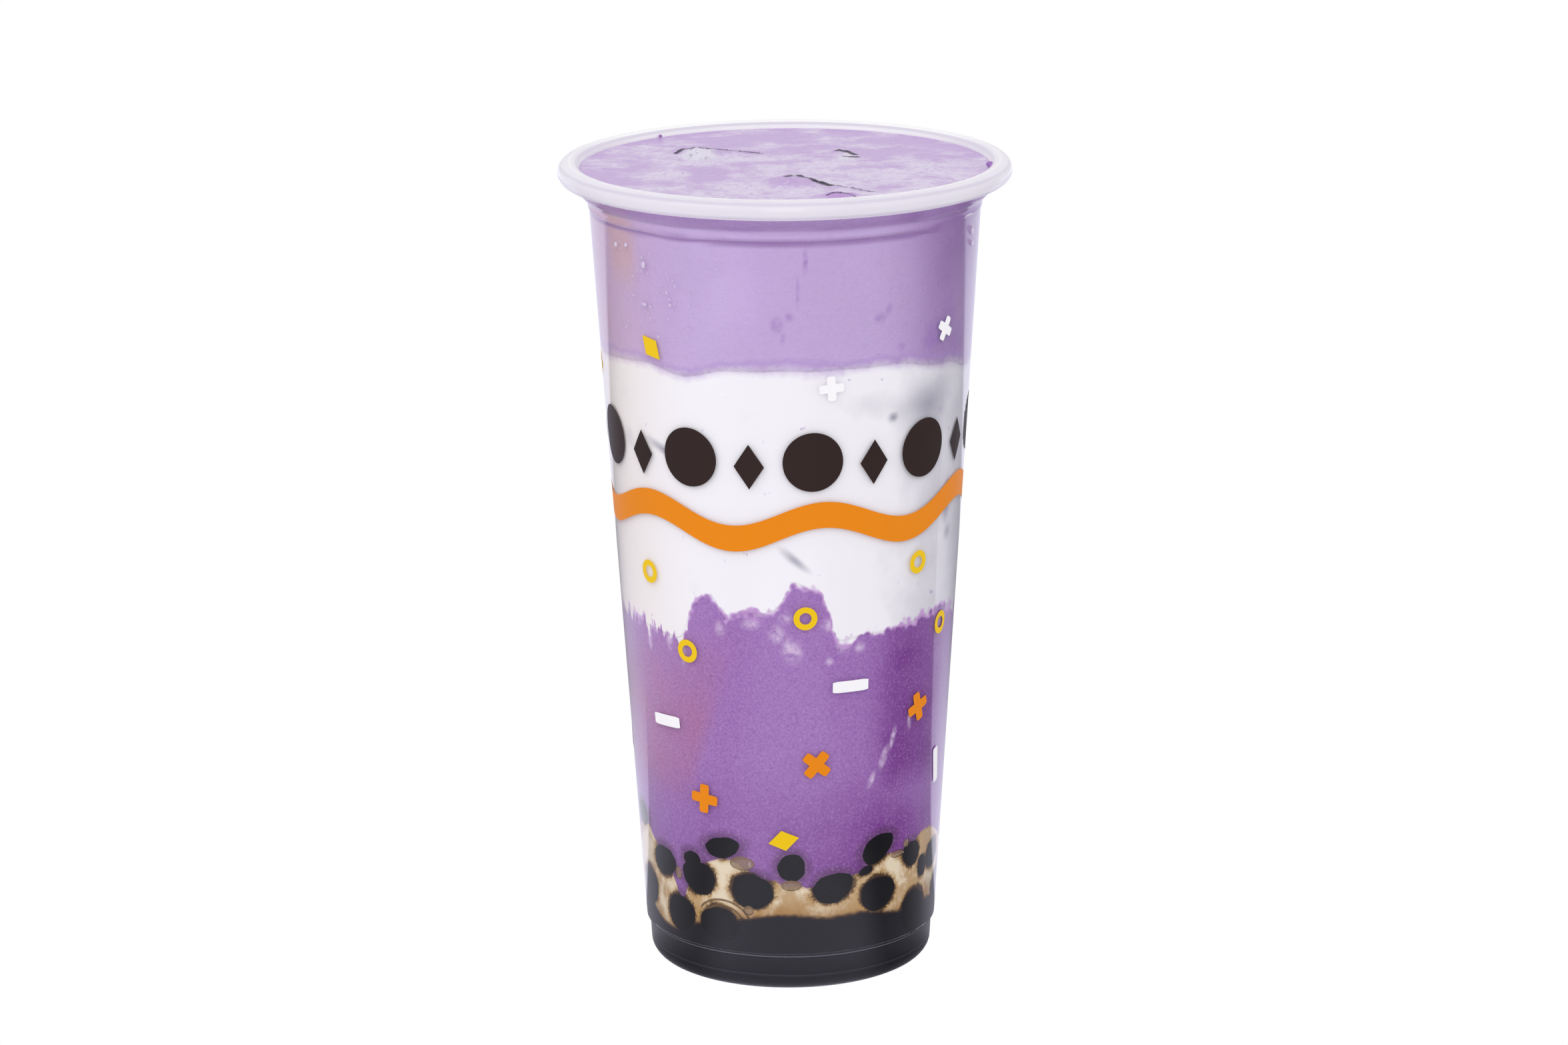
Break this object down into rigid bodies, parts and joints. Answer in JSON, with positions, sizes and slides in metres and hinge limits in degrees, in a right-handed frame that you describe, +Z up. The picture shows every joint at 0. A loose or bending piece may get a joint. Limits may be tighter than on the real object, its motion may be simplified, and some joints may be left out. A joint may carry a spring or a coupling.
{
  "type": "taro bubble tea",
  "caption": "Layered taro milk tea with tapioca pearls in dark syrup and ice, filled to the brim of a clear tapered plastic cup with a rolled rim.",
  "frame": {"origin": "bottom centre of the cup's foot, on the surface it stands on", "axes": "+Z up along the cup's axis, -Y towards the viewer in front"},
  "size_m": [0.095, 0.095, 0.1735],
  "materials": {
    "cup_plastic": "clear thin polypropylene, a little milky at the rim",
    "pearls_syrup": "near-black tapioca pearls in dark sugar syrup",
    "cream": "cream stained brown by the syrup",
    "taro_deep": "thick, finely grained purple taro",
    "milk": "opaque milk",
    "taro_light": "smooth lilac taro milk with a frothy top",
    "ice": "worn ice under a film of taro milk"
  },
  "bodies": {
    "root": {"cup": "cup_plastic", "pearl_bed": "pearls_syrup", "cream_layer": "cream", "taro_lower": "taro_deep", "milk_layer": "milk", "taro_upper": "taro_light", "ice_1": "ice", "ice_2": "ice", "ice_3": "ice", "ice_4": "ice"}
  },
  "joints": []
}
